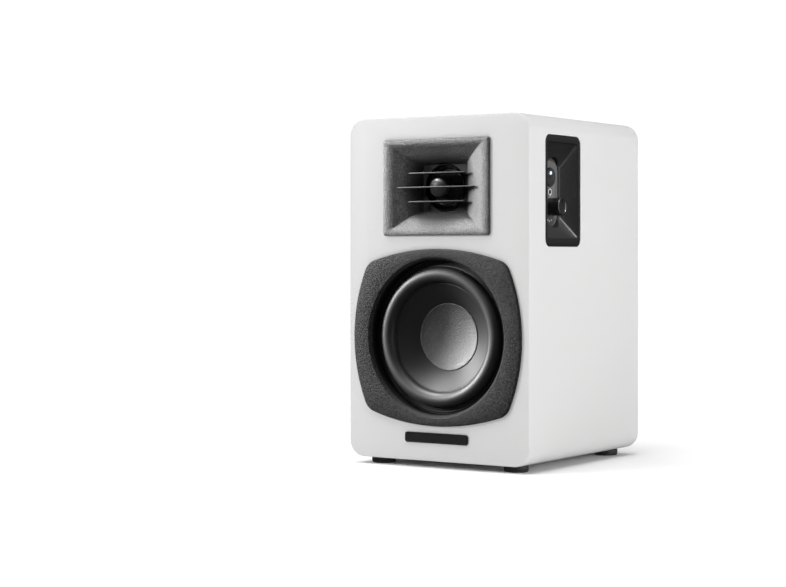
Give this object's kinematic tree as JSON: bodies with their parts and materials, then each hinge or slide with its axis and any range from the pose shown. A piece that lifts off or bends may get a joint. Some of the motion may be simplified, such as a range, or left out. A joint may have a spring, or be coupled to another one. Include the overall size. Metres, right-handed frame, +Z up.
{
  "type": "bookshelf speaker",
  "caption": "Compact powered bookshelf speaker: rounded white cabinet, cone woofer in a bowed bezel, horn tweeter with vanes, side control recess and rear port.",
  "frame": {"origin": "below the middle of the whole object, on the surface that the feet stand on", "axes": "+Z up, -Y out of the baffle (the side that the drivers face), +X the side with the control recess"},
  "size_m": [0.123, 0.1512, 0.204],
  "materials": {
    "cabinet_white": "satin white vinyl wrap or paint over fibreboard",
    "wadding": "soft polyester wadding",
    "trim_black": "gloss black bar",
    "plastic_black": "fine-grained moulded plastic",
    "foot_rubber": "matt rubber",
    "bezel_charcoal": "charcoal moulded plastic with a fine texture",
    "foam_black": "closed-cell foam",
    "basket_steel": "black painted pressed steel",
    "screw_black": "black oxide",
    "surround_rubber": "smooth satin rubber",
    "cone_paper": "coated cone, satin",
    "dust_cap_paper": "mottled pulp, matt",
    "coil_copper": "enamelled copper wire on a former",
    "spider_cloth": "corrugated impregnated cloth",
    "motor_steel": "zinc plated",
    "ferrite": "ground ferrite",
    "dome_silk": "coated silk",
    "fascia_grey": "smooth satin plastic",
    "lens_dark": "dark clear lens",
    "knob_black": "satin black",
    "can_metal": "stamped can",
    "button_dark": "satin dished cap",
    "led_white": "diffusing light guide",
    "board_green": "solder resist",
    "panel_black_metal": "fine powder coat",
    "lever_red": "moulded",
    "lever_black": "moulded",
    "heat_sink_aluminium": "extruded",
    "capacitor_sleeve": "shrink sleeve",
    "wire_red": "insulated wire pair",
    "wire_dark": "insulated wire pair"
  },
  "bodies": {
    "cabinet": {"cabinet_carcass": "cabinet_white", "rear_board": "cabinet_white", "wadding_pad": "wadding", "nameplate": "trim_black", "port_tube": "plastic_black", "foot_front_left": "foot_rubber", "foot_front_right": "foot_rubber", "foot_rear_left": "foot_rubber", "foot_rear_right": "foot_rubber", "woofer_bezel": "bezel_charcoal", "woofer_gasket": "foam_black", "woofer_basket": "basket_steel", "woofer_screw_1": "screw_black", "woofer_screw_2": "screw_black", "woofer_screw_3": "screw_black", "woofer_screw_4": "screw_black", "woofer_surround": "surround_rubber", "woofer_spider": "spider_cloth", "woofer_top_plate": "motor_steel", "woofer_magnet": "ferrite", "woofer_yoke": "motor_steel", "tweeter_horn": "bezel_charcoal", "phase_plug": "plastic_black", "tweeter_surround": "surround_rubber", "tweeter_screw_1": "motor_steel", "tweeter_screw_2": "motor_steel", "tweeter_top_plate": "motor_steel", "tweeter_magnet": "ferrite", "tweeter_yoke": "motor_steel", "control_bezel": "bezel_charcoal", "control_fascia": "fascia_grey", "indicator_lens": "lens_dark", "potentiometer": "can_metal", "tact_switch": "plastic_black", "control_pcb": "board_green", "amp_panel": "panel_black_metal", "panel_screw_1": "screw_black", "panel_screw_2": "screw_black", "panel_screw_3": "screw_black", "panel_screw_4": "screw_black", "rca_jacks": "plastic_black", "power_inlet": "plastic_black", "terminal_block": "plastic_black", "amp_pcb": "board_green", "heat_sink": "heat_sink_aluminium", "filter_capacitor": "capacitor_sleeve", "woofer_wires": "wire_red", "tweeter_wires": "wire_dark"},
    "volume_control": {"volume_knob": "knob_black", "volume_shaft": "motor_steel"},
    "select_key": {"select_button": "button_dark", "status_led": "led_white"},
    "woofer_diaphragm": {"woofer_cone": "cone_paper", "woofer_dust_cap": "dust_cap_paper", "woofer_voice_coil": "coil_copper"},
    "tweeter_diaphragm": {"tweeter_dome": "dome_silk", "tweeter_voice_coil": "coil_copper"},
    "terminal_lever_red": {"lever_red": "lever_red"},
    "terminal_lever_black": {"lever_black": "lever_black"}
  },
  "joints": [
    {"name": "volume_turn", "type": "hinge", "parent": "cabinet", "child": "volume_control", "pos_m": [0.05, -0.0339, 0.1516], "axis": [1, 0, 0], "range_deg": [-140, 140]},
    {"name": "select_press", "type": "slide", "parent": "cabinet", "child": "select_key", "axis": [-1, 0, 0], "range_m": [0, 0.0008], "stiffness_N_per_m": 800},
    {"name": "woofer_excursion", "type": "slide", "parent": "cabinet", "child": "woofer_diaphragm", "axis": [0, -1, 0], "range_m": [-0.0025, 0.0025], "stiffness_N_per_m": 1600, "deforming": ["woofer_surround", "woofer_spider"]},
    {"name": "tweeter_excursion", "type": "slide", "parent": "cabinet", "child": "tweeter_diaphragm", "axis": [0, -1, 0], "range_m": [-0.0003, 0.0003], "stiffness_N_per_m": 3000, "deforming": ["tweeter_surround"]},
    {"name": "red_lever_press", "type": "hinge", "parent": "cabinet", "child": "terminal_lever_red", "pos_m": [0.01, 0.0678, 0.0545], "axis": [-1, 0, 0], "range_deg": [0, 22], "stiffness_Nm_per_rad": 0.05},
    {"name": "black_lever_press", "type": "hinge", "parent": "cabinet", "child": "terminal_lever_black", "pos_m": [0.03, 0.0678, 0.0545], "axis": [-1, 0, 0], "range_deg": [0, 22], "stiffness_Nm_per_rad": 0.05}
  ]
}
